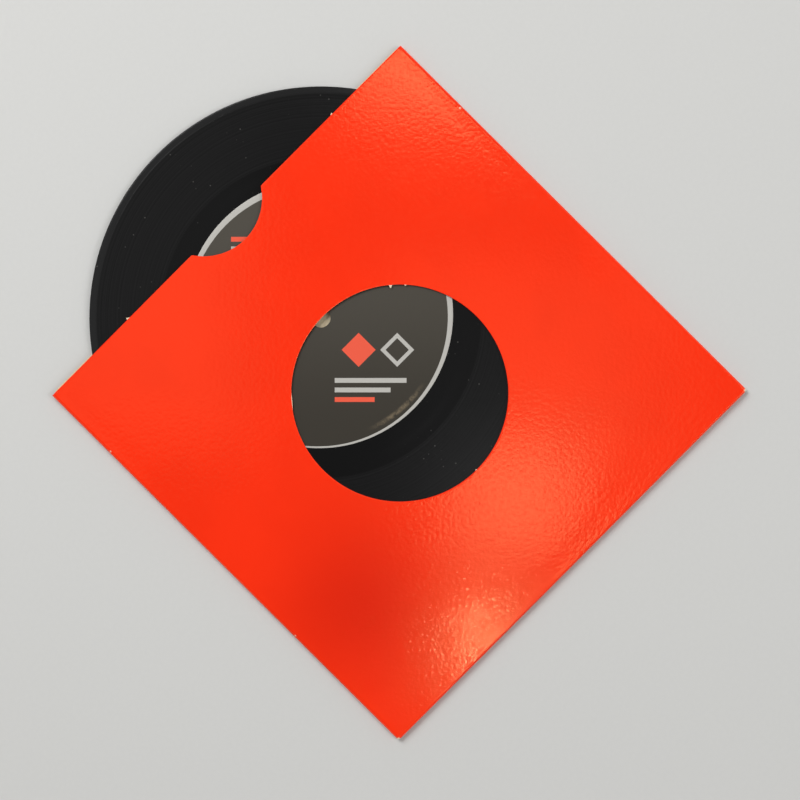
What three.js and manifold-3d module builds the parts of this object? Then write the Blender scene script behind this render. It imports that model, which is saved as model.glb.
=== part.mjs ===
// A seven inch record, part way out of its folded card sleeve.
//
// Millimetres, +Z up. The sleeve lies flat on its back panel. The origin is the middle of the
// sleeve on the back panel's outer face, +X runs along the mouth and +Y points out of it.

import * as THREE from "three";
import { mergeVertices } from "three/addons/utils/BufferGeometryUtils.js";
import Module from "manifold-3d";

// Record
const recordDiameter = 174.4;
const rimThickness = 1.25;
const grooveThickness = 1.0;
const landThickness = 1.05;
const spindleDiameter = 7.24;
const rimBeadWidth = 2.2;
const rimSlopeWidth = 0.7;
const rimRounding = 0.3;
const landMargin = 1.5;
const landSlopeWidth = 1.0;

// Labels, which are stuck on a little off the centre of the record
const labelDiameter = 101;
const labelThickness = 0.1;
const labelShiftX = 0.5;
const labelShiftY = 1.6;

// Card of the sleeve
const card = 0.35;
const flapWidth = 16;
const flapTaper = 7;
const backSetIn = 0.2;
const backCornerCut = 1.2;
const mouthLip = 0.6;
const foldRounding = 0.3;
const creaseHeight = 1.55;
const crown = 0.4;

// Openings cut in the front panel
const windowDiameter = 81.6;
const notchRadius = 21.9;
const notchDepth = 10;
const notchCornerRadius = 1;

// Room around the record in the pocket
const sideRoom = 5.8;
const depthRoom = 9.6;
const faceRoom = 0.15;
const swayRoom = 0.2;

// Where the record stands in the pocket: its centre, from the middle of the sleeve
const recordSideways = -0.9;
const recordOut = 41;

// Fineness of the faceted surfaces
const roundSegments = 96;
const notchSegments = 12;
const panelStep = 9;
const shoulderSteps = 5;
const foldSteps = 3;

// Sizes that follow from those above
const recordRadius = recordDiameter / 2;
const halfWidth = recordRadius + sideRoom;
const halfDepth = (recordDiameter + depthRoom) / 2;
const flapTop = 2 * card;
const recordBottom = flapTop + faceRoom;
const pocketRoof = recordBottom + rimThickness + faceRoom;
const foldTop = 3 * card + creaseHeight;
const fullHalfWidth = recordRadius + Math.abs(recordSideways) + swayRoom;
const shoulder = halfWidth - fullHalfWidth;
const levelCentre = fullHalfWidth + shoulder - halfDepth;
const midPocket = (flapTop + pocketRoof) / 2;
const cutHeight = pocketRoof + crown + 4 * card;

const wasm = await Module();
wasm.setup();

const orangeCard = new THREE.MeshStandardMaterial({ color: 0xf5391c, roughness: 0.42, metalness: 0 });
const blackVinyl = new THREE.MeshStandardMaterial({ color: 0x0e0e10, roughness: 0.25, metalness: 0 });
const greyPaper = new THREE.MeshStandardMaterial({ color: 0x48443f, roughness: 0.6, metalness: 0 });

// Turns a closed geometry into a solid that can be joined and cut.
function solidOf(geometry) {
  geometry.deleteAttribute("normal");
  geometry.deleteAttribute("uv");
  const merged = mergeVertices(geometry, 1e-4);
  return new wasm.Manifold(new wasm.Mesh({
    numProp: 3,
    vertProperties: new Float32Array(merged.attributes.position.array),
    triVerts: new Uint32Array(merged.index.array),
  }));
}

// Turns a solid back into a geometry.
function geometryOf(solid) {
  const mesh = solid.getMesh();
  const geometry = new THREE.BufferGeometry();
  geometry.setAttribute("position", new THREE.BufferAttribute(new Float32Array(mesh.vertProperties), 3));
  geometry.setIndex(new THREE.BufferAttribute(new Uint32Array(mesh.triVerts), 1));
  geometry.computeVertexNormals();
  return geometry;
}

function namedMesh(name, geometry, material) {
  const mesh = new THREE.Mesh(geometry, material);
  mesh.name = name;
  return mesh;
}

// A flat plate with the outline of a shape, its two faces exactly at the heights given.
function plate(shape, low, high, curveSegments = roundSegments / 2) {
  const geometry = new THREE.ExtrudeGeometry(shape, { depth: 1, bevelEnabled: false, curveSegments });
  const position = geometry.attributes.position;
  for (let i = 0; i < position.count; i += 1) {
    position.setZ(i, position.getZ(i) > 0.5 ? high : low);
  }
  return geometry;
}

function rectangle(lowX, highX, lowY, highY) {
  const shape = new THREE.Shape();
  shape.moveTo(lowX, lowY);
  shape.lineTo(highX, lowY);
  shape.lineTo(highX, highY);
  shape.lineTo(lowX, highY);
  shape.closePath();
  return shape;
}

// The space between a level floor and a curved roof, on a grid of stations along X and Y.
function underRoof(xs, ys, floor, roofAt) {
  const positions = [];
  for (const level of [() => floor, roofAt]) {
    for (const y of ys) {
      for (const x of xs) {
        positions.push(x, y, level(x, y));
      }
    }
  }
  const layer = xs.length * ys.length;
  const index = [];
  const quad = (a, b, c, d) => index.push(a, b, c, a, c, d);
  const at = (i, j) => j * xs.length + i;
  for (let j = 0; j + 1 < ys.length; j += 1) {
    for (let i = 0; i + 1 < xs.length; i += 1) {
      const [a, b, c, d] = [at(i, j), at(i + 1, j), at(i + 1, j + 1), at(i, j + 1)];
      quad(a, d, c, b);
      quad(a + layer, b + layer, c + layer, d + layer);
    }
  }
  const wall = (a, b) => quad(a, b, b + layer, a + layer);
  const lastX = xs.length - 1;
  const lastY = ys.length - 1;
  for (let i = 0; i < lastX; i += 1) {
    wall(at(i, 0), at(i + 1, 0));
    wall(at(i + 1, lastY), at(i, lastY));
  }
  for (let j = 0; j < lastY; j += 1) {
    wall(at(lastX, j), at(lastX, j + 1));
    wall(at(0, j + 1), at(0, j));
  }
  const geometry = new THREE.BufferGeometry();
  geometry.setAttribute("position", new THREE.Float32BufferAttribute(positions, 3));
  geometry.setIndex(index);
  return geometry;
}

// Distance in from the nearest of the three closed edges.
function fromFold(x, y) {
  return Math.max(0, Math.min(halfWidth - Math.abs(x), y + halfDepth));
}

// Distance out from the level stretch over the record: as wide as the record and its sway, and
// rounded at the closed end.
function fromSweep(x, y) {
  const behind = Math.max(0, levelCentre - y);
  return Math.max(0, Math.hypot(x, behind) - fullHalfWidth);
}

// The front panel's slight bow: highest along the middle, none at the sides, and dying away
// from the centre of the level stretch's rounded end to the closed end.
function bowAt(x, y) {
  const inward = Math.max(0, levelCentre - y) / (levelCentre + halfDepth);
  return crown * (1 - (x / halfWidth) ** 2) * Math.max(0, 1 - inward ** 2);
}

// The front panel's outer face: nearly level over the record, and going in a smooth S from
// there to the height of the folds, which come nearest at the sides and furthest away in the
// two closed corners.
function panelTop(x, y) {
  const out = fromSweep(x, y);
  const share = out / (out + fromFold(x, y) + 1e-9);
  const fall = share * share * (3 - 2 * share);
  const full = pocketRoof + card + bowAt(x, y);
  return full + (foldTop - full) * fall;
}

// The same face with the fold rounded over along the closed edges.
function roundedTop(x, y) {
  const inward = Math.min(foldRounding, fromFold(x, y));
  const drop = foldRounding - Math.sqrt(foldRounding ** 2 - (foldRounding - inward) ** 2);
  return panelTop(x, y) - drop;
}

// Distances in from a fold at which the front panel bends: a few round the fold, then a few
// up the shoulder.
function bendStations() {
  const stations = [];
  for (let k = 0; k < foldSteps; k += 1) {
    stations.push(foldRounding * (1 - Math.cos((k * Math.PI) / (2 * foldSteps))));
  }
  for (let k = 0; k <= shoulderSteps; k += 1) {
    stations.push(foldRounding + (k * (shoulder - foldRounding)) / shoulderSteps);
  }
  return stations;
}

function evenStations(low, high) {
  const count = Math.max(1, Math.ceil((high - low) / panelStep));
  return Array.from({ length: count + 1 }, (_, k) => low + ((high - low) * k) / count);
}

function panelStations() {
  const bends = bendStations();
  const inner = evenStations(-fullHalfWidth, fullHalfWidth).slice(1, -1);
  const left = bends.map((bend) => bend - halfWidth);
  const right = bends.map((bend) => halfWidth - bend).reverse();
  const ends = bends.map((bend) => bend - halfDepth);
  const along = evenStations(shoulder - halfDepth, halfDepth).slice(1);
  return { xs: [...left, ...inner, ...right], ys: [...ends, ...along] };
}

// Keeps the stations that lie between two limits and puts one on each limit.
function between(stations, low, high) {
  return [low, ...stations.filter((s) => s > low && s < high), high];
}

// The space that the record slides in: over the back panel and the flaps, under the front
// panel, closed by the folds on three sides and open past the mouth.
function pocket(xs, ys) {
  const sideWall = halfWidth - card;
  const endWall = halfDepth - card;
  const pastMouth = halfDepth + 2 * mouthLip;
  const roof = (x, y) => panelTop(x, y) - card;
  const space = solidOf(underRoof(
    between(xs, -sideWall, sideWall),
    between(ys, -endWall, pastMouth),
    card,
    roof,
  ));
  return [-1, 1].reduce((left, side) => left.subtract(flapUnder(side)), space);
}

// One glue flap: it runs the length of the sleeve, is folded in under the front panel and
// lies on the back panel. Its free edge tapers at both ends.
function flapUnder(side) {
  const shape = new THREE.Shape();
  const freeEdge = side * (halfWidth - flapWidth);
  shape.moveTo(side * halfWidth, -halfDepth);
  shape.lineTo(side * halfWidth, halfDepth);
  shape.lineTo(freeEdge, halfDepth - flapTaper);
  shape.lineTo(freeEdge, flapTaper - halfDepth);
  shape.closePath();
  return solidOf(plate(shape, 0, flapTop));
}

// The back panel's lip, a hair past the front panel's mouth edge.
function mouthLipPlate() {
  const side = halfWidth + card;
  const shape = rectangle(-side, side, halfDepth - flapTaper, halfDepth + mouthLip);
  return solidOf(plate(shape, -card, card));
}

// What is cut away along one side under the flap: the back panel's cut edge is set in a
// little from the fold, and its corner at the mouth is cut off.
function sideStep(side) {
  const inner = halfWidth - backSetIn;
  const mouth = halfDepth + mouthLip;
  const shape = new THREE.Shape();
  shape.moveTo(side * inner, -2 * halfDepth);
  shape.lineTo(side * inner, mouth - backCornerCut);
  shape.lineTo(side * (inner - 2 * backCornerCut), mouth + backCornerCut);
  shape.lineTo(side * 2 * halfWidth, mouth + backCornerCut);
  shape.lineTo(side * 2 * halfWidth, -2 * halfDepth);
  shape.closePath();
  return solidOf(plate(shape, -2 * card, card));
}

// Everything below the surface that the sleeve lies on.
function belowGround() {
  const wide = rectangle(-2 * halfWidth, 2 * halfWidth, -2 * halfDepth, 2 * halfDepth);
  return solidOf(plate(wide, -3 * card, 0));
}

function windowCut() {
  const geometry = new THREE.CylinderGeometry(
    windowDiameter / 2,
    windowDiameter / 2,
    cutHeight - midPocket,
    roundSegments,
  );
  geometry.rotateX(Math.PI / 2);
  geometry.translate(0, 0, (cutHeight + midPocket) / 2);
  return solidOf(geometry);
}

// The thumb notch in the front panel's mouth edge: an arc that meets the edge in two small
// rounded corners.
function notchCut() {
  const arcCentre = halfDepth + notchRadius - notchDepth;
  const cornerY = halfDepth - notchCornerRadius;
  const reach = notchRadius + notchCornerRadius;
  const cornerX = Math.sqrt(reach ** 2 - (arcCentre - cornerY) ** 2);
  const lean = Math.atan2(arcCentre - cornerY, cornerX);
  const past = halfDepth + notchDepth;
  const shape = new THREE.Shape();
  shape.moveTo(cornerX, past);
  shape.lineTo(-cornerX, past);
  shape.lineTo(-cornerX, halfDepth);
  shape.absarc(-cornerX, cornerY, notchCornerRadius, Math.PI / 2, lean, true);
  shape.absarc(0, arcCentre, notchRadius, Math.PI + lean, 2 * Math.PI - lean, false);
  shape.absarc(cornerX, cornerY, notchCornerRadius, Math.PI - lean, Math.PI / 2, true);
  shape.closePath();
  return solidOf(plate(shape, midPocket, cutHeight, notchSegments));
}

// The sleeve is one sheet of card. It folds once at the closed end, opposite the mouth, and
// the front panel's two side flaps fold in and are glued to the inside of the back panel.
function sleeve() {
  const { xs, ys } = panelStations();
  const block = solidOf(underRoof(xs, ys, -card, roundedTop)).add(mouthLipPlate());
  const cuts = [sideStep(-1), sideStep(1), pocket(xs, ys), windowCut(), notchCut(), belowGround()];
  const solid = cuts.reduce((left, cut) => left.subtract(cut), block);
  return namedMesh("sleeve", geometryOf(solid), orangeCard);
}

// The record turned from its section: a thicker rim bead, the thinner grooved band, and the
// land that the labels lie on, the same on both faces.
function record() {
  const landRadius = labelDiameter / 2 + Math.hypot(labelShiftX, labelShiftY) + landMargin;
  const beadInner = recordRadius - rimBeadWidth;
  const halfRound = rimRounding * (1 - Math.SQRT1_2);
  const face = [
    [recordRadius, rimThickness / 2 - rimRounding],
    [recordRadius - halfRound, rimThickness / 2 - halfRound],
    [recordRadius - rimRounding, rimThickness / 2],
    [beadInner, rimThickness / 2],
    [beadInner - rimSlopeWidth, grooveThickness / 2],
    [landRadius + landSlopeWidth, grooveThickness / 2],
    [landRadius, landThickness / 2],
    [spindleDiameter / 2, landThickness / 2],
  ];
  const upper = face.map(([r, z]) => new THREE.Vector2(r, z));
  const lower = face.map(([r, z]) => new THREE.Vector2(r, -z)).reverse();
  const section = [...lower, ...upper, lower[0].clone()];
  const geometry = new THREE.LatheGeometry(section, roundSegments);
  geometry.rotateX(Math.PI / 2);
  return namedMesh("record", geometryOf(solidOf(geometry)), blackVinyl);
}

// A paper label: a disc a little off centre, with the spindle hole punched through it where
// the record has its own.
function label(name, low) {
  const shape = new THREE.Shape();
  shape.absarc(labelShiftX, labelShiftY, labelDiameter / 2, 0, 2 * Math.PI, false);
  const hole = new THREE.Path();
  hole.absarc(0, 0, spindleDiameter / 2, 0, 2 * Math.PI, true);
  shape.holes.push(hole);
  const geometry = geometryOf(solidOf(plate(shape, low, low + labelThickness)));
  return namedMesh(name, geometry, greyPaper);
}

const recordWithLabels = new THREE.Group();
recordWithLabels.add(record());
recordWithLabels.add(label("label_front", landThickness / 2));
recordWithLabels.add(label("label_back", -landThickness / 2 - labelThickness));
recordWithLabels.position.set(recordSideways, recordOut, recordBottom + rimThickness / 2);

const group = new THREE.Group();
group.add(sleeve());
group.add(recordWithLabels);

export default group;
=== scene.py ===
# A seven inch record part way out of its folded card sleeve, seen from straight above.
# Metres, +Z up. The sleeve lies flat, +X runs along its mouth and +Y points out of it.

import math

import bpy
import numpy as np
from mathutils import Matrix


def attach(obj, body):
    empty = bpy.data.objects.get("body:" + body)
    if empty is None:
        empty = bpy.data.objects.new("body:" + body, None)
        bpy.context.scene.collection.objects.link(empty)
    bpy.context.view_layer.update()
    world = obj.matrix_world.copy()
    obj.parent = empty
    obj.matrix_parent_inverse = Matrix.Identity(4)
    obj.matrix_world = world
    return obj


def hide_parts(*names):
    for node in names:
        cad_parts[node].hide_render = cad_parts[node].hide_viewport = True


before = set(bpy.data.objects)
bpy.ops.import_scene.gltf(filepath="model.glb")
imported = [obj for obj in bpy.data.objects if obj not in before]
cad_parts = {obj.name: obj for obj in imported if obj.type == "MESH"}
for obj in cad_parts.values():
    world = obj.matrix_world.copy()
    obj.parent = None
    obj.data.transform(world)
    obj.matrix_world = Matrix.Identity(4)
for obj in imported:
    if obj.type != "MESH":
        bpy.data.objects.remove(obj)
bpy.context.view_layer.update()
mm = 0.001


# Meshes from numpy arrays

def gridFaces(rows, columns, wrapRows=False, wrapColumns=False):
    # Quads between neighbouring stations of a grid whose points are numbered row by row.
    r = np.arange(rows if wrapRows else rows - 1)
    c = np.arange(columns if wrapColumns else columns - 1)
    r, c = np.meshgrid(r, c, indexing="ij")
    nextR = (r + 1) % rows
    nextC = (c + 1) % columns
    corners = [r * columns + c, r * columns + nextC, nextR * columns + nextC, nextR * columns + c]
    return np.stack(corners, axis=-1).reshape(-1, 4)


sharpFrom = math.radians(40)


def meshObject(name, points, faces):
    # Points in millimetres. A quad that names one point twice becomes a triangle.
    mesh = bpy.data.meshes.new(name)
    rows = [list(dict.fromkeys(face)) for face in faces.tolist()]
    mesh.from_pydata((points * mm).tolist(), [], rows)
    mesh.polygons.foreach_set("use_smooth", np.ones(len(mesh.polygons), dtype=bool))
    mesh.update()
    mesh.set_sharp_from_angle(angle=sharpFrom)
    obj = bpy.data.objects.new(name, mesh)
    bpy.context.scene.collection.objects.link(obj)
    return obj


# Shader helpers

def feed(tree, socket, value):
    if isinstance(value, bpy.types.NodeSocket):
        tree.links.new(value, socket)
    else:
        socket.default_value = value


def addNode(tree, kind, inputs, **settings):
    node = tree.nodes.new(kind)
    for key, value in settings.items():
        setattr(node, key, value)
    for key, value in inputs.items():
        feed(tree, node.inputs[key], value)
    return node


def calc(tree, operation, *values):
    node = addNode(tree, "ShaderNodeMath", dict(enumerate(values)), operation=operation)
    return node.outputs[0]


def ramp(tree, value, low, high, outLow=0.0, outHigh=1.0):
    inputs = {"Value": value, "From Min": low, "From Max": high, "To Min": outLow, "To Max": outHigh}
    node = addNode(tree, "ShaderNodeMapRange", inputs, interpolation_type="SMOOTHSTEP")
    return node.outputs["Result"]


def noise(tree, vector, scale, detail=2.0, roughness=0.5):
    inputs = {"Vector": vector, "Scale": scale, "Detail": detail, "Roughness": roughness}
    return addNode(tree, "ShaderNodeTexNoise", inputs).outputs["Fac"]


def blendColour(tree, share, first, second):
    node = tree.nodes.new("ShaderNodeMix")
    node.data_type = "RGBA"
    sockets = [node.inputs[0], node.inputs[6], node.inputs[7]]
    for socket, value in zip(sockets, [share, first, second]):
        feed(tree, socket, (*value, 1.0) if isinstance(value, tuple) else value)
    return node.outputs[2]


def shaded(tree, shade, colour):
    # The colour made lighter or darker by a factor.
    inputs = {"Value": shade, "Color": (*colour, 1.0)}
    return addNode(tree, "ShaderNodeHueSaturation", inputs).outputs["Color"]


def placeInMm(tree, centre=(0.0, 0.0, 0.0), turn=0.0):
    # Object coordinates in millimetres, measured from a centre and turned about Z.
    coordinates = tree.nodes.new("ShaderNodeTexCoord")
    inputs = {
        "Vector": coordinates.outputs["Object"],
        "Location": tuple(c * mm for c in centre),
        "Rotation": (0.0, 0.0, turn),
        "Scale": (mm, mm, mm),
    }
    return addNode(tree, "ShaderNodeMapping", inputs, vector_type="TEXTURE").outputs["Vector"]


def splitXyz(tree, vector):
    return addNode(tree, "ShaderNodeSeparateXYZ", {"Vector": vector}).outputs


def flatDistance(tree, x, y):
    squares = calc(tree, "ADD", calc(tree, "MULTIPLY", x, x), calc(tree, "MULTIPLY", y, y))
    return calc(tree, "SQRT", squares)


def distanceFrom(tree, x, y, centreX, centreY):
    return flatDistance(tree, calc(tree, "SUBTRACT", x, centreX), calc(tree, "SUBTRACT", y, centreY))


def bump(tree, height, distance):
    inputs = {"Height": height, "Distance": distance * mm, "Strength": 1.0}
    return addNode(tree, "ShaderNodeBump", inputs).outputs["Normal"]


def newMaterial(name, **constants):
    material = bpy.data.materials.new(name)
    material.use_nodes = True
    tree = material.node_tree
    shader = tree.nodes["Principled BSDF"]
    for key, value in constants.items():
        shader.inputs[key.replace("_", " ")].default_value = value
    return material, tree, shader


# The view, worked out from where the sleeve lies in the 800 by 800 photograph

cameraValues = {
    "frameWidth": 300.8,      # millimetres across the picture at the sleeve's face
    "lookAtX": -1.8,
    "lookAtY": -1.9,
    "faceHeight": 2.6,
    "turn": -45.15,           # degrees
    "lens": 85.0,
    "sensor": 36.0,
    "clipStart": 0.01,        # metres
}


def makeCamera():
    v = cameraValues
    data = bpy.data.cameras.new("camera")
    data.lens = v["lens"]
    data.sensor_width = v["sensor"]
    distance = v["frameWidth"] * v["lens"] / v["sensor"]
    data.clip_start = v["clipStart"]
    camera = bpy.data.objects.new("camera", data)
    camera.location = (v["lookAtX"] * mm, v["lookAtY"] * mm, (v["faceHeight"] + distance) * mm)
    camera.rotation_euler = (0.0, 0.0, math.radians(v["turn"]))
    bpy.context.scene.collection.objects.link(camera)
    bpy.context.scene.camera = camera


# Lamps are placed in the picture's own directions: right, up and height in metres. The key and
# the fill aim at the sleeve. The sheen lamps face straight down and show as soft highlights.

sheenHeight = 1.5
lampValues = {
    "key": {"right": -0.75, "up": 0.85, "height": 1.25, "wide": 0.9, "deep": 0.9, "power": 24.0},
    "fill": {"right": 1.1, "up": -0.1, "height": 1.2, "wide": 0.9, "deep": 0.9, "power": 9.0},
    "sheenMiddle": {"right": 0.146, "up": -0.127, "wide": 0.17, "deep": 0.15, "power": 0.17},
    "sheenRight": {"right": 0.163, "up": 0.041, "wide": 0.34, "deep": 0.27, "power": 0.08},
    "sheenLow": {"right": 0.114, "up": -0.311, "wide": 0.04, "deep": 0.04, "power": 0.165},
    "sheenTop": {"right": 0.108, "up": 0.429, "wide": 0.31, "deep": 0.16, "power": 0.37},
    "sheenLeft": {"right": -0.325, "up": 0.19, "wide": 0.3, "deep": 0.52, "power": 0.16},
}


def makeLamps():
    turn = math.radians(cameraValues["turn"])
    for name, v in lampValues.items():
        data = bpy.data.lights.new(name, "AREA")
        data.shape = "RECTANGLE"
        data.size = v["wide"]
        data.size_y = v["deep"]
        data.energy = v["power"]
        lamp = bpy.data.objects.new(name, data)
        x = v["right"] * math.cos(turn) - v["up"] * math.sin(turn)
        y = v["right"] * math.sin(turn) + v["up"] * math.cos(turn)
        lamp.location = (x, y, v.get("height", sheenHeight))
        aim = lamp.location.to_track_quat("Z", "Y").to_euler()
        lamp.rotation_euler = (0.0, 0.0, turn) if name.startswith("sheen") else aim
        bpy.context.scene.collection.objects.link(lamp)


worldValues = {
    "overhead": 0.1,
    "horizon": 0.86,
    "darkensFrom": 0.05,      # heights as the sine of the angle above the horizon
    "darkensTo": 0.75,
    "tint": (1.0, 0.99, 0.97),
}


def makeWorld():
    # A pale surround that darkens smoothly towards straight overhead.
    v = worldValues
    world = bpy.data.worlds.new("world")
    world.use_nodes = True
    tree = world.node_tree
    background = tree.nodes["Background"]
    direction = tree.nodes.new("ShaderNodeTexCoord").outputs["Generated"]
    height = splitXyz(tree, direction)["Z"]
    strength = ramp(tree, height, v["darkensFrom"], v["darkensTo"], v["horizon"], v["overhead"])
    background.inputs["Color"].default_value = (*v["tint"], 1.0)
    feed(tree, background.inputs["Strength"], strength)
    bpy.context.scene.world = world
    bpy.context.scene.view_settings.view_transform = "Standard"


floorValues = {
    "size": 12.0,             # metres
    "colour": (0.58, 0.58, 0.566),
    "roughness": 0.75,
    "grain": 0.012,
    "grainScale": 0.6,
}


def makeFloor():
    v = floorValues
    half = v["size"] / 2 / mm
    side = np.linspace(-half, half, 3)
    x, y = np.meshgrid(side, side, indexing="ij")
    points = np.stack([x, y, np.zeros_like(x)], axis=-1).reshape(-1, 3)
    floor = meshObject("floor", points, gridFaces(3, 3)[:, ::-1])
    material, tree, shader = newMaterial("paleFloor", Roughness=v["roughness"])
    grain = noise(tree, placeInMm(tree), v["grainScale"], 3.0)
    shade = ramp(tree, grain, 0.3, 0.7, 1 - v["grain"], 1.0)
    feed(tree, shader.inputs["Base Color"], shaded(tree, shade, v["colour"]))
    floor.data.materials.append(material)


makeCamera()
makeLamps()
makeWorld()
makeFloor()
print("stage: camera, lamps and floor")


# Sleeve. All sizes in millimetres, the same form as the solid that it replaces

sleeveValues = {
    "halfWidth": 93.0,
    "halfDepth": 92.0,
    "card": 0.35,
    "pocketRoof": 2.25,
    "crown": 0.4,
    "creaseTop": 2.6,
    "levelHalfWidth": 84.0,   # the panel starts to fall this far from its middle
    "levelCentre": 1.0,       # centre of the level stretch's rounded end
    "windowRadius": 40.8,
    "notchRadius": 21.9,
    "notchDepth": 10.0,
    "notchCorner": 1.0,
    "sideFoldReach": 1.1,     # how far the rounded folds stand out from the flat
    "endFoldReach": 0.8,
    "flapWidth": 16.0,
    "flapTaper": 7.0,
    "glueLine": 0.02,
    "lipLeft": 0.75,          # how far the back panel reaches past the mouth edge
    "lipRight": 0.6,
    "lipCornerCut": 1.2,
    "pressDepth": 0.03,       # the die presses the cut edges down a little
    "pressWidth": 0.5,
    "step": 1.5,
    "straightLength": 75.0,   # about how long each stretch of the mouth is, for its stations
    "cornerLength": 9.0,
    "notchLength": 42.0,
    "nibStations": 17,
    "foldSteps": 12,
}

# Torn fibres left by the die: angle round the window in degrees or place along the mouth,
# half width and how far they stand out
windowNibs = [(49.8, 0.75, 1.2), (41.9, 0.6, 0.45), (-90.3, 0.5, 0.35), (139.3, 4.6, 0.28)]
mouthNibs = [(-52.1, 0.75, 0.75), (56.1, 0.6, 0.55)]

sv = sleeveValues
sideLine = sv["halfWidth"] - sv["sideFoldReach"]
endLine = sv["halfDepth"] - sv["endFoldReach"]
arcCentre = sv["halfDepth"] + sv["notchRadius"] - sv["notchDepth"]
cornerY = sv["halfDepth"] - sv["notchCorner"]
cornerX = math.sqrt((sv["notchRadius"] + sv["notchCorner"]) ** 2 - (arcCentre - cornerY) ** 2)
arcShare = sv["notchRadius"] / (sv["notchRadius"] + sv["notchCorner"])
arcEnd = (cornerX * arcShare, arcCentre + (cornerY - arcCentre) * arcShare)


def peak(distance, halfWidth, height):
    # A smooth bump: height times the square of one less the squared share of the half width.
    share = np.clip(np.abs(distance) / halfWidth, 0, 1)
    return height * (1 - share**2) ** 2


def windowRim(angle):
    # The window's radius less each nib's bump at its place round the rim.
    radius = np.full_like(angle, sv["windowRadius"])
    for place, halfWidth, height in windowNibs:
        away = (angle - math.radians(place) + math.pi) % (2 * math.pi) - math.pi
        radius = radius - peak(away * sv["windowRadius"], halfWidth, height)
    return radius


def panelOutline(angle):
    # Along a ray from the window's centre the outline is the nearer of the side and end lines,
    # or at the mouth the straight edge, the corner's arc or the notch's arc.
    c, s = np.cos(angle), np.sin(angle)
    side = sideLine / np.maximum(np.abs(c), 1e-9)
    end = endLine / np.maximum(-s, 1e-9)
    along = sv["halfDepth"] * c / np.maximum(s, 1e-9)
    lift = sum(peak(along - place, halfWidth, height) for place, halfWidth, height in mouthNibs)
    mouth = (sv["halfDepth"] + lift) / np.maximum(s, 1e-9)
    reach = cornerX * np.abs(c) + cornerY * s
    corner = reach + np.sqrt(np.maximum(0, reach**2 - cornerX**2 - cornerY**2 + sv["notchCorner"] ** 2))
    notch = arcCentre * s - np.sqrt(np.maximum(0, sv["notchRadius"] ** 2 - (arcCentre * c) ** 2))
    lean = np.abs(c) / np.maximum(s, 1e-9)
    mouth = np.where(lean < cornerX / sv["halfDepth"], corner, mouth)
    mouth = np.where(lean < arcEnd[0] / arcEnd[1], notch, mouth)
    return np.minimum(side, np.where(s > 0, mouth, end))


def panelTop(x, y):
    # Level with a slight crown over the record, and a smooth S from there to the folds.
    out = np.maximum(0, np.hypot(x, np.maximum(0, sv["levelCentre"] - y)) - sv["levelHalfWidth"])
    toFold = np.maximum(0, np.minimum(sideLine - np.abs(x), y + endLine))
    share = out / (out + toFold + 1e-9)
    inward = np.clip((sv["levelCentre"] - y) / (sv["levelCentre"] + sv["halfDepth"]), 0, 1)
    bow = sv["crown"] * (1 - (x / sv["halfWidth"]) ** 2) * (1 - inward**2)
    full = sv["pocketRoof"] + sv["card"] + bow
    return full + (sv["creaseTop"] - full) * share**2 * (3 - 2 * share)


def pressedEdge(distance):
    return sv["pressDepth"] * (1 - np.clip(distance / sv["pressWidth"], 0, 1)) ** 2


def angleStations():
    # Angles from the left mouth corner round the closed sides to the right one and back along
    # the mouth, with a station on every corner and close ones at each nib.
    rightMouth = math.atan2(sv["halfDepth"], sideLine)
    closed = math.atan2(endLine, sideLine)
    edge = math.atan2(sv["halfDepth"], cornerX)
    bend = math.atan2(arcEnd[1], arcEnd[0])
    turn = 2 * math.pi
    keys = [
        math.pi - rightMouth, math.pi + closed, turn - closed, turn + rightMouth, turn + edge,
        turn + bend, turn + math.pi - bend, turn + math.pi - edge, turn + math.pi - rightMouth,
    ]
    straight, corner, notch = sv["straightLength"], sv["cornerLength"], sv["notchLength"]
    lengths = [2 * sv["halfDepth"], 2 * sv["halfWidth"], 2 * sv["halfDepth"]]
    lengths += [straight, corner, notch, corner, straight]
    pieces = [
        np.linspace(low, high, max(2, int(length / sv["step"])), endpoint=False)
        for low, high, length in zip(keys[:-1], keys[1:], lengths)
    ]
    stations = np.concatenate([*pieces, keys[-1:]])
    nibs = [
        (math.radians(place) % turn, width / sv["windowRadius"])
        for place, width, _ in windowNibs if width < sv["step"]
    ]
    for place, width, _ in mouthNibs:
        angle = math.atan2(sv["halfDepth"], place) + turn
        nibs.append((angle, width / math.hypot(sv["halfDepth"], place)))
    for middle, halfAngle in nibs:
        middle = middle if middle > keys[0] else middle + turn
        keep = (np.abs(stations - middle) > halfAngle * 1.1) | np.isin(stations, keys)
        close = np.linspace(middle - halfAngle, middle + halfAngle, sv["nibStations"])
        stations = np.sort(np.concatenate([stations[keep], close]))
    return stations, keys


def frontPanel(angles):
    # Each point lies between the window's rim and the outline on the same ray, by a share that
    # steps most finely next to both cut edges.
    near = np.array([0, 0.001, 0.0025, 0.0045, 0.007, 0.011, 0.018, 0.03])
    middle = np.linspace(0.055, 0.84, 18)
    far = 1 - np.array([0.125, 0.095, 0.075, 0.058, 0.044, 0.032, 0.022, 0.014, 0.008, 0.0035, 0])
    shares = np.concatenate([near, middle, far])
    rim, outline = windowRim(angles)[:, None], panelOutline(angles)[:, None]
    radius = rim + (outline - rim) * shares[None, :]
    x = radius * np.cos(angles)[:, None]
    y = radius * np.sin(angles)[:, None]
    z = panelTop(x, y) - pressedEdge(radius - rim)
    fromNotch = np.hypot(x, y - arcCentre) - sv["notchRadius"]
    fromMouth = np.maximum(0, np.minimum(sv["halfDepth"] - y, fromNotch))
    z = z - pressedEdge(fromMouth)
    outer = np.stack([x, y, z], axis=-1)
    return outer, outer - (0, 0, sv["card"])


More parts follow.
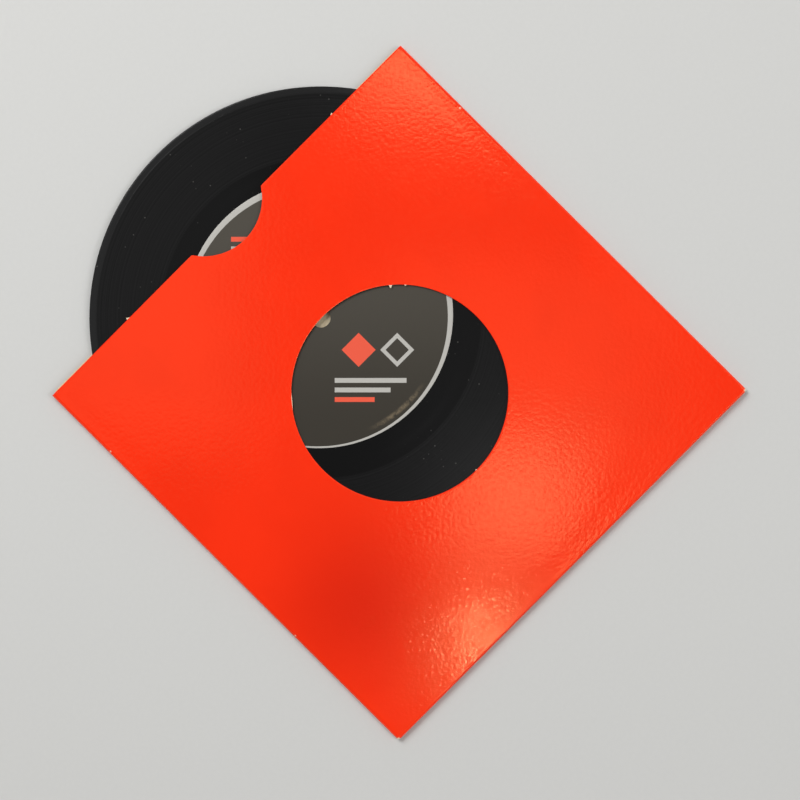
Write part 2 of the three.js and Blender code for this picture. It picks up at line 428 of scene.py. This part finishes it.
def foldRound(line, direction, reach, bottom):
    # Half an ellipse from the flat panel out, down and back in, carried along the fold line.
    # The inner face is the same half ellipse less the card's thickness.
    theta = np.linspace(0, math.pi, sv["foldSteps"] + 1)[None, :]
    middle = (sv["creaseTop"] + bottom) / 2
    half = (sv["creaseTop"] - bottom) / 2
    faces = []
    for inset in (0, sv["card"]):
        out = (reach - inset) * np.sin(theta)[..., None] * direction[:, None, :]
        plan = line[:, None, :] + out
        z = np.broadcast_to(middle[:, None] + (half - inset)[:, None] * np.cos(theta), plan.shape[:2])
        faces.append(np.concatenate([plan, z[..., None]], axis=-1))
    return faces


def sideFold(line, side):
    direction = np.tile([side, 0.0], (len(line), 1))
    bottom = np.full(len(line), sv["card"] + sv["glueLine"])
    return foldRound(line, direction, sv["sideFoldReach"], bottom)


def endFold(line):
    direction = np.tile([0.0, -1.0], (len(line), 1))
    return foldRound(line, direction, sv["endFoldReach"], np.zeros(len(line)))


def closedCorner(side):
    # The two folds meet in a quarter turn that goes down as far as their middle height.
    start, stop = (math.pi, 1.5 * math.pi) if side < 0 else (1.5 * math.pi, 2 * math.pi)
    psi = np.linspace(start, stop, 7)
    direction = np.stack([np.cos(psi), np.sin(psi)], axis=-1)
    endShare = np.sin(psi) ** 2
    line = np.tile([side * sideLine, -endLine], (len(psi), 1))
    bottom = (sv["card"] + sv["glueLine"]) * (1 - endShare)
    theta = np.linspace(0, math.pi / 2, sv["foldSteps"] // 2 + 1)[None, :]
    middle = (sv["creaseTop"] + bottom) / 2
    half = (sv["creaseTop"] - bottom) / 2
    faces = []
    for inset in (0, sv["card"]):
        reach = np.array([sv["sideFoldReach"] - inset, sv["endFoldReach"] - inset])
        out = np.sin(theta)[..., None] * (direction * reach)[:, None, :]
        z = middle[:, None] + (half - inset)[:, None] * np.cos(theta)
        faces.append(np.concatenate([line[:, None, :] + out, z[..., None]], axis=-1))
    return faces


def glueFlap(line, side):
    # Straight in from the fold on top of the back panel, tapered towards its free edge.
    inward = np.linspace(0, 1, 5)[None, :]
    width = sv["flapWidth"] - sv["sideFoldReach"]
    x = np.broadcast_to(side * (sideLine - width * inward), (len(line), inward.size))
    y = line[:, 1:2] * (1 - inward * sv["flapTaper"] / sv["halfDepth"])
    z = np.full_like(y, sv["card"] + sv["glueLine"])
    outer = np.stack([x, y, z], axis=-1)
    return outer, outer + (0, 0, sv["card"])


def backPanel(line):
    # Straight from the closed fold to just past the mouth, where its two corners are cut off.
    cut = sv["lipCornerCut"]
    cutShare = cut / (2 * sv["halfDepth"])
    corner = 1 - cutShare * np.array([1, 0.5, 0])
    shares = np.concatenate([np.linspace(0, 1 - 2 * cutShare, 24), corner])
    x = line[:, 0:1]
    lip = sv["lipLeft"] + (sv["lipRight"] - sv["lipLeft"]) * (x + sideLine) / (2 * sideLine)
    reach = sv["halfDepth"] + lip + endLine
    y = -endLine + reach * shares[None, :]
    overCut = np.maximum(0, cut - reach * (1 - shares[None, :]))
    x = x * (1 - overCut / sideLine)
    outer = np.stack([x, y, np.zeros_like(y)], axis=-1)
    return outer, outer + (0, 0, sv["card"])


def foldedSheet(name, parts):
    # Joins the grids into one sheet, and closes it: its outer face, its inner face turned
    # over, and a strip along every edge that only one face uses. Their materials come in the
    # same order: printed card, bare card and cut edge in painted shade.
    outer = np.concatenate([part[0].reshape(-1, 3) for part in parts])
    inner = np.concatenate([part[1].reshape(-1, 3) for part in parts])
    starts = np.cumsum([0] + [part[0].shape[0] * part[0].shape[1] for part in parts[:-1]])
    faces = np.concatenate([gridFaces(*part[0].shape[:2]) + at for part, at in zip(parts, starts)])
    keys = np.round(np.concatenate([outer, inner], axis=1), 4)
    _, first, same = np.unique(keys, axis=0, return_index=True, return_inverse=True)
    outer, inner = outer[first], inner[first]
    faces = same.reshape(-1)[faces]
    count = len(outer)
    edges = np.concatenate([faces[:, [k, (k + 1) % 4]] for k in range(4)])
    edges = edges[edges[:, 0] != edges[:, 1]]
    ahead = edges[:, 0] * count + edges[:, 1]
    back = edges[:, 1] * count + edges[:, 0]
    a, b = edges[~np.isin(ahead, back)].T
    rim = np.stack([b, a, a + count, b + count], axis=-1)
    allFaces = np.concatenate([faces, faces[:, ::-1] + count, rim])
    obj = meshObject(name, np.concatenate([outer, inner]), allFaces)
    slots = np.repeat([0, 1, 2], [len(faces), len(faces), len(rim)]).astype(np.int32)
    obj.data.polygons.foreach_set("material_index", slots)
    return obj


def makeSleeve():
    angles, keys = angleStations()
    panel = frontPanel(angles)
    outline = panel[0][:, -1, :2]
    left, end, right = (
        outline[(angles >= low - 1e-9) & (angles <= high + 1e-9)]
        for low, high in zip(keys[:3], keys[1:4])
    )
    parts = [
        panel, sideFold(left, -1), closedCorner(-1), endFold(end), closedCorner(1),
        sideFold(right, 1), glueFlap(left, -1), backPanel(end), glueFlap(right, 1),
    ]
    return foldedSheet("card_sleeve", parts)


printedValues = {
    "colour": (0.97, 0.0265, 0.0046),
    "deep": (0.93, 0.0245, 0.0042),
    # Painted shade: the red darkens over one area, where less light falls on the card.
    "paintedShade": (0.75, 0.0145, 0.0031),
    "paintedShadeAt": (-66.0, -45.0, 47.0),   # middle and radius of the area that lies in less light
    "cloudScale": 0.03,       # slow change between the two reds
    "fibre": (0.78, 0.66, 0.49),
    "fibreFrom": 0.02,        # a nib shows fibre this far past the cut edge
    "windowFibreFull": 0.12,
    "mouthFibreFull": 0.1,
    "wornFull": 1.7,          # distances from a closed corner, made ragged by a noise
    "wornEnd": 2.2,
    "wornRagged": 1.6,
    "wornScale": 1.6,
    "chipShare": 0.6,
    "chipCore": 0.5,
    "sheen": (1.0, 0.74, 0.32),
    "smooth": 0.1,
    "rough": 0.15,
    "grainScale": 0.7,
    "grainDepth": 0.034,
}

# Small chips in the print along the folds: place and radius
foldChips = [(92.0, 59.5, 0.55), (-92.3, 61.6, 0.45), (-92.4, -36.5, 0.4)]


def bareFibre(tree, place, x, y):
    # Share of bare fibre: on the nibs of both cut edges, in the worn closed corners and in the
    # chips along the folds.
    v = printedValues
    window, mouth = sv["windowRadius"], sv["halfDepth"]
    rim = flatDistance(tree, x, y)
    nib = ramp(tree, rim, window - v["windowFibreFull"], window - v["fibreFrom"], 1.0, 0.0)
    lip = ramp(tree, y, mouth + v["fibreFrom"], mouth + v["mouthFibreFull"])
    toSide = calc(tree, "SUBTRACT", sv["halfWidth"], calc(tree, "ABSOLUTE", x))
    toEnd = calc(tree, "ADD", y, sv["halfDepth"])
    ragged = calc(tree, "MULTIPLY", noise(tree, place, v["wornScale"]), v["wornRagged"])
    fromCorner = calc(tree, "ADD", flatDistance(tree, toSide, toEnd), ragged)
    corner = ramp(tree, fromCorner, v["wornFull"], v["wornEnd"], 1.0, 0.0)
    share = calc(tree, "MAXIMUM", calc(tree, "MAXIMUM", nib, lip), corner)
    for chipX, chipY, size in foldChips:
        away = distanceFrom(tree, x, y, chipX, chipY)
        chip = ramp(tree, away, size * v["chipCore"], size, v["chipShare"], 0.0)
        share = calc(tree, "MAXIMUM", share, chip)
    return share


def printedCard():
    v = printedValues
    sheen = (*v["sheen"], 1.0)
    material, tree, shader = newMaterial("printedCard", Specular_Tint=sheen, Specular_IOR_Level=1.0)
    place = placeInMm(tree)
    x, y, _ = splitXyz(tree, place)
    cloud = noise(tree, place, v["cloudScale"], 3.0)
    colour = blendColour(tree, ramp(tree, cloud, 0.35, 0.65), v["deep"], v["colour"])
    # Painted shade: the red darkens towards the middle of the area that lies in less light.
    paintedShadeX, paintedShadeY, paintedShadeRadius = v["paintedShadeAt"]
    away = distanceFrom(tree, x, y, paintedShadeX, paintedShadeY)
    colour = blendColour(tree, ramp(tree, away, 0.0, paintedShadeRadius, 1.0, 0.0), colour, v["paintedShade"])
    colour = blendColour(tree, bareFibre(tree, place, x, y), colour, v["fibre"])
    feed(tree, shader.inputs["Base Color"], colour)
    fine = noise(tree, place, v["grainScale"], 1.0, 0.5)
    feed(tree, shader.inputs["Roughness"], ramp(tree, fine, 0.3, 0.7, v["smooth"], v["rough"]))
    feed(tree, shader.inputs["Normal"], bump(tree, fine, v["grainDepth"]))
    return material


bareValues = {
    "colour": (0.80, 0.68, 0.47),
    "shade": (0.70, 0.58, 0.38),
    "roughness": 0.85,
    "fibreScale": 0.9,
    "fibreDepth": 0.03,
}


def bareCard():
    v = bareValues
    material, tree, shader = newMaterial("bareCard", Roughness=v["roughness"])
    place = placeInMm(tree)
    fibre = noise(tree, place, v["fibreScale"], 4.0, 0.6)
    colour = blendColour(tree, ramp(tree, fibre, 0.35, 0.65), v["shade"], v["colour"])
    feed(tree, shader.inputs["Base Color"], colour)
    feed(tree, shader.inputs["Normal"], bump(tree, fibre, v["fibreDepth"]))
    return material


# Painted shade: the cut edges are coloured a dark red, darker than the printed face, so they read as
# shaded.
shadedCutEdgeValues = {"colour": (0.33, 0.05, 0.02), "roughness": 0.8}


def shadedCutEdge():
    v = shadedCutEdgeValues
    return newMaterial("shadedCutEdge", Base_Color=(*v["colour"], 1.0), Roughness=v["roughness"])[0]


sleeve = makeSleeve()
sleeve.data.materials.append(printedCard())
sleeve.data.materials.append(bareCard())
sleeve.data.materials.append(shadedCutEdge())
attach(sleeve, "sleeve")
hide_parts("sleeve")
print("stage: sleeve with", len(sleeve.data.polygons), "faces")


# Record, turned from its section

recordValues = {
    "centre": (-0.9, 41.0, 1.475),
    "radius": 87.2,
    "rimHalf": 0.625,         # half thicknesses
    "grooveHalf": 0.5,
    "landHalf": 0.525,
    "holeRadius": 3.62,
    "holeBevel": 0.12,
    "beadWidth": 2.2,
    "slopeWidth": 0.8,
    "edgeRound": 0.55,
    "landRadius": 54.2,
    "landFall": 4.0,
    "edgeFullness": 0.96,     # 1 would bring the outer edge to a point
    "segments": 384,
}


def smoothShare(value, low, high):
    # From 0 at the low value to 1 at the high one, level at both ends.
    share = np.clip((value - low) / (high - low), 0, 1)
    return share**2 * (3 - 2 * share)


def recordHalf(radius):
    # Half thickness from the land, falling smoothly to the grooves and rising to the rim
    # bead, with a quarter ellipse round the outer edge and a small bevel at the hole.
    v = recordValues
    fallen = smoothShare(radius, v["landRadius"], v["landRadius"] + v["landFall"])
    beadStart = v["radius"] - v["beadWidth"] - v["slopeWidth"]
    risen = smoothShare(radius, beadStart, beadStart + v["slopeWidth"])
    height = v["landHalf"] + (v["grooveHalf"] - v["landHalf"]) * fallen
    height = height + (v["rimHalf"] - v["grooveHalf"]) * risen
    over = np.clip((radius - v["radius"] + v["edgeRound"]) / v["edgeRound"], 0, 1)
    bevel = np.clip(1 - (radius - v["holeRadius"]) / v["holeBevel"], 0, 1) * v["holeBevel"]
    return (height - bevel) * np.sqrt(1 - over**2 * v["edgeFullness"])


def makeRecord():
    # Stations from the hole out to the rim, closest where the section bends.
    v = recordValues
    hole = v["holeRadius"] + v["holeBevel"] * np.array([0, 0.5, 1, 1.4])
    land = np.linspace(v["holeRadius"] + 0.6, v["landRadius"], 14)
    fall = v["landRadius"] + v["landFall"] * np.linspace(0.1, 1, 8)
    grooves = np.linspace(fall[-1] + 1, v["radius"] - v["beadWidth"] - v["slopeWidth"], 16)
    rise = grooves[-1] + v["slopeWidth"] * np.linspace(0.15, 1, 6)
    bead = np.linspace(rise[-1] + 0.2, v["radius"] - v["edgeRound"], 5)
    edge = v["radius"] - v["edgeRound"] * (1 - np.sin(np.linspace(0.08, 1, 10) * math.pi / 2))
    r = np.concatenate([hole, land, fall, grooves, rise, bead, edge])
    half = recordHalf(r)
    section = np.concatenate([np.stack([r, half], axis=-1), np.stack([r, -half], axis=-1)[::-1]])
    turn = np.linspace(0, 2 * math.pi, v["segments"], endpoint=False)[:, None]
    x = section[:, 0] * np.cos(turn)
    y = section[:, 0] * np.sin(turn)
    z = np.broadcast_to(section[:, 1], x.shape)
    points = np.stack([x, y, z], axis=-1).reshape(-1, 3) + v["centre"]
    faces = gridFaces(len(turn), len(section), wrapRows=True, wrapColumns=True)
    return meshObject("vinyl_record", points, faces)


vinylValues = {
    "colour": (0.0068, 0.0068, 0.0069),
    "smooth": 0.1,
    "grooved": 0.13,
    "reflection": 0.13,
    "anisotropy": 0.35,
    "grooveStart": 60.5,
    "grooveEnd": 84.2,
    "grooveFade": 0.4,
    "grooveDepth": 0.012,
    "ringScale": 1.6,
    # Painted sheen: the colour is lifted over the grooves, and more over the rim bead, for the light
    # that they scatter.
    "paintedGrooveSheen": (0.1, 0.7),
    "paintedRimSheen": 1.4,
    "dustColour": (0.30, 0.29, 0.27),
    "dustScale": 0.35,
    "dustShare": 0.22,
    "dustCore": 0.04,
    "dustEdge": 0.12,
    "dustPatchScale": 0.09,
}


def dustOn(tree, place):
    # Single specks, one to a cell of a random pattern, and only in patches of it.
    v = vinylValues
    inputs = {"Vector": place, "Scale": v["dustScale"]}
    fromSpeck = addNode(tree, "ShaderNodeTexVoronoi", inputs).outputs["Distance"]
    patches = noise(tree, place, v["dustPatchScale"], 2.0)
    sparse = ramp(tree, patches, 0.5, 0.62, 0.0, v["dustShare"])
    speck = ramp(tree, fromSpeck, v["dustCore"], v["dustEdge"], 1.0, 0.0)
    return calc(tree, "MULTIPLY", speck, sparse)


def blackVinyl():
    v = vinylValues
    material, tree, shader = newMaterial(
        "blackVinyl", Anisotropic=v["anisotropy"], Specular_IOR_Level=v["reflection"],
    )
    place = placeInMm(tree, recordValues["centre"])
    x, y, _ = splitXyz(tree, place)
    radius = flatDistance(tree, x, y)
    inputs = {"W": radius, "Scale": v["ringScale"], "Detail": 4.0, "Roughness": 0.65}
    rings = addNode(tree, "ShaderNodeTexNoise", inputs, noise_dimensions="1D").outputs["Fac"]
    inner, outer, fade = v["grooveStart"], v["grooveEnd"], v["grooveFade"]
    inside = calc(
        tree, "MULTIPLY",
        ramp(tree, radius, inner - fade, inner),
        ramp(tree, radius, outer, outer + fade, 1.0, 0.0),
    )
    # Painted sheen: the black's colour is lifted over the grooves and the rim bead.
    grooveSheen = ramp(tree, rings, 0.25, 0.75, *v["paintedGrooveSheen"])
    rim = ramp(tree, radius, outer, outer + fade, 0.0, v["paintedRimSheen"])
    shade = calc(tree, "ADD", calc(tree, "ADD", 1.0, rim), calc(tree, "MULTIPLY", inside, grooveSheen))
    tinted = shaded(tree, shade, v["colour"])
    colour = blendColour(tree, dustOn(tree, place), tinted, v["dustColour"])
    feed(tree, shader.inputs["Base Color"], colour)
    feed(tree, shader.inputs["Roughness"], ramp(tree, inside, 0.0, 1.0, v["smooth"], v["grooved"]))
    grooves = calc(tree, "MULTIPLY", rings, inside)
    feed(tree, shader.inputs["Normal"], bump(tree, grooves, v["grooveDepth"]))
    tangent = tree.nodes.new("ShaderNodeTangent")
    tangent.direction_type = "RADIAL"
    tangent.axis = "Z"
    feed(tree, shader.inputs["Tangent"], tangent.outputs["Tangent"])
    return material


record = makeRecord()
record.data.materials.append(blackVinyl())
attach(record, "record")
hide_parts("record")
print("stage: record with", len(record.data.polygons), "faces")


# Labels, a little off the record's centre, with the hole punched at that centre

labelValues = {
    "radius": 50.5,
    "shiftX": 0.5,
    "shiftY": 1.6,
    "thickness": 0.1,
    "sunk": 0.01,             # how far it is let into the vinyl
    "holeGap": 0.03,
    "edgeFrom": 0.995,        # share of the radius from which the edge is rounded down
    "edgeDrop": 0.04,
    "segments": 256,
    "ground": (0.0285, 0.0237, 0.0165),
    "groundLight": (0.062, 0.055, 0.043),
    "lightFrom": -45.0,       # the ground gets lighter up the label
    "lightTo": 25.0,
    "lightShare": 0.85,
    "paperShare": 0.2,
    "paperScale": 1.4,
    "paperDepth": 0.012,
    "smooth": 0.52,
    "rough": 0.64,
    "reflection": 0.25,
    "pale": (0.45, 0.437, 0.405),
    "coral": (0.78, 0.095, 0.048),
    "printSoftness": 0.06,
    "scuffColour": (0.30, 0.23, 0.14),
    "scuffShare": 0.42,
    "scuffRadius": 47.3,
    "scuffCore": 0.1,
    "scuffWidth": 1.3,
    "scuffX": 30.5,
    "scuffY": -36.3,
    "scuffFull": 4.0,
    "scuffEnd": 15.0,
    "ringRadius": 48.85,      # the plain inside the border ring, printed off centre
    "ringShiftX": -0.9,
    "ringShiftY": -0.5,
    "ringSoftness": 0.05,
}


def makeLabel(name, low, high):
    # Each ray runs from the punched hole's circle to the label's own circle.
    v = labelValues
    turn = np.linspace(0, 2 * math.pi, v["segments"], endpoint=False)[:, None]
    shares = np.concatenate([np.linspace(0, 0.98, 14), [v["edgeFrom"], 0.9985, 1.0]])
    hole = recordValues["holeRadius"] + v["holeGap"]
    rounded = np.clip((shares - v["edgeFrom"]) / (1 - v["edgeFrom"]), 0, 1)
    top = high - v["edgeDrop"] * rounded
    bottom = np.full(len(shares), low)
    levels = [(shares, top), (shares[::-1], bottom)]
    x, y, z = [], [], []
    for share, height in levels:
        x.append(hole * np.cos(turn) * (1 - share) + (v["shiftX"] + v["radius"] * np.cos(turn)) * share)
        y.append(hole * np.sin(turn) * (1 - share) + (v["shiftY"] + v["radius"] * np.sin(turn)) * share)
        z.append(np.broadcast_to(height, x[-1].shape))
    points = np.stack([np.concatenate(axis, axis=1) for axis in (x, y, z)], axis=-1)
    cx, cy, _ = recordValues["centre"]
    faces = gridFaces(points.shape[0], points.shape[1], wrapRows=True, wrapColumns=True)
    return meshObject(name, points.reshape(-1, 3) + (cx, cy, 0), faces)


# The print's simple shapes, in millimetres from the label's centre. A lozenge has its place to
# the right and up, its half size, its ink, and the half size of what is left open inside it.
lozenges = [
    (15.0, -13.5, 6.4, "coral", 0.0),
    (29.5, -13.5, 6.4, "pale", 4.4),
    (-15.0, 13.5, 6.4, "pale", 4.4),
]

# A bar has its place, its half length, its half height and its ink
bars = [
    (19.5, -25.0, 13.5, 0.9, "pale"),
    (16.5, -28.6, 10.5, 0.9, "pale"),
    (13.5, -32.2, 7.5, 0.9, "coral"),
    (-20.5, 24.5, 12.5, 0.9, "pale"),
    (-24.5, 28.1, 8.5, 0.9, "coral"),
]


def scuffOn(tree, place, x, y):
    # Share of a worn arc just inside the border ring, at the lower right, broken into patches.
    v = labelValues
    fromCircle = calc(tree, "SUBTRACT", flatDistance(tree, x, y), v["scuffRadius"])
    fromArc = calc(tree, "ABSOLUTE", fromCircle)
    away = distanceFrom(tree, x, y, v["scuffX"], v["scuffY"])
    across = ramp(tree, fromArc, v["scuffCore"], v["scuffWidth"], v["scuffShare"], 0.0)
    along = ramp(tree, away, v["scuffFull"], v["scuffEnd"], 1.0, 0.0)
    patchy = ramp(tree, noise(tree, place, 0.5, 4.0, 0.7), 0.34, 0.6)
    return calc(tree, "MULTIPLY", calc(tree, "MULTIPLY", across, along), patchy)


def labelPrint(name):
    v = labelValues
    material, tree, shader = newMaterial(name, Specular_IOR_Level=v["reflection"])
    cx, cy, _ = recordValues["centre"]
    turn = math.radians(cameraValues["turn"])
    centre = (cx + v["shiftX"], cy + v["shiftY"], 0.0)
    place = placeInMm(tree, centre, turn)
    x, y, _ = splitXyz(tree, place)
    paper = noise(tree, place, v["paperScale"], 3.0, 0.6)
    rising = ramp(tree, y, v["lightFrom"], v["lightTo"], 0.0, v["lightShare"])
    light = calc(tree, "ADD", rising, calc(tree, "MULTIPLY", paper, v["paperShare"]))
    colour = blendColour(tree, light, v["ground"], v["groundLight"])
    colour = blendColour(tree, scuffOn(tree, place, x, y), colour, v["scuffColour"])
    soft = v["printSoftness"]
    for right, up, half, ink, hollow in lozenges:
        fromX = calc(tree, "ABSOLUTE", calc(tree, "SUBTRACT", x, right))
        fromY = calc(tree, "ABSOLUTE", calc(tree, "SUBTRACT", y, up))
        reach = calc(tree, "ADD", fromX, fromY)
        mask = ramp(tree, reach, half - soft, half + soft, 1.0, 0.0)
        if hollow:
            mask = calc(tree, "MULTIPLY", mask, ramp(tree, reach, hollow - soft, hollow + soft))
        colour = blendColour(tree, mask, colour, v[ink])
    for right, up, halfLength, halfHeight, ink in bars:
        fromX = calc(tree, "ABSOLUTE", calc(tree, "SUBTRACT", x, right))
        fromY = calc(tree, "ABSOLUTE", calc(tree, "SUBTRACT", y, up))
        pastEnd = calc(tree, "SUBTRACT", fromX, halfLength)
        pastSide = calc(tree, "SUBTRACT", fromY, halfHeight)
        outside = calc(tree, "MAXIMUM", pastEnd, pastSide)
        colour = blendColour(tree, ramp(tree, outside, -soft, soft, 1.0, 0.0), colour, v[ink])
    ringPlace = placeInMm(tree, (centre[0] + v["ringShiftX"], centre[1] + v["ringShiftY"], 0.0))
    ringX, ringY, _ = splitXyz(tree, ringPlace)
    inner, outer = v["ringRadius"] - v["ringSoftness"], v["ringRadius"] + v["ringSoftness"]
    ring = ramp(tree, flatDistance(tree, ringX, ringY), inner, outer)
    colour = blendColour(tree, ring, colour, v["pale"])
    feed(tree, shader.inputs["Base Color"], colour)
    feed(tree, shader.inputs["Roughness"], ramp(tree, paper, 0.3, 0.7, v["smooth"], v["rough"]))
    feed(tree, shader.inputs["Normal"], bump(tree, paper, v["paperDepth"]))
    return material


def addLabel(name, node, low, high):
    label = makeLabel(name, low, high)
    label.data.materials.append(labelPrint(name + "Print"))
    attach(label, "record")
    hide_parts(node)


landTop = recordValues["centre"][2] + recordValues["landHalf"]
landBottom = recordValues["centre"][2] - recordValues["landHalf"]
thickness, sunk = labelValues["thickness"], labelValues["sunk"]
addLabel("paper_label_front", "label_front", landTop - sunk, landTop + thickness)
addLabel("paper_label_back", "label_back", landBottom - thickness, landBottom + sunk)
print("stage: labels")
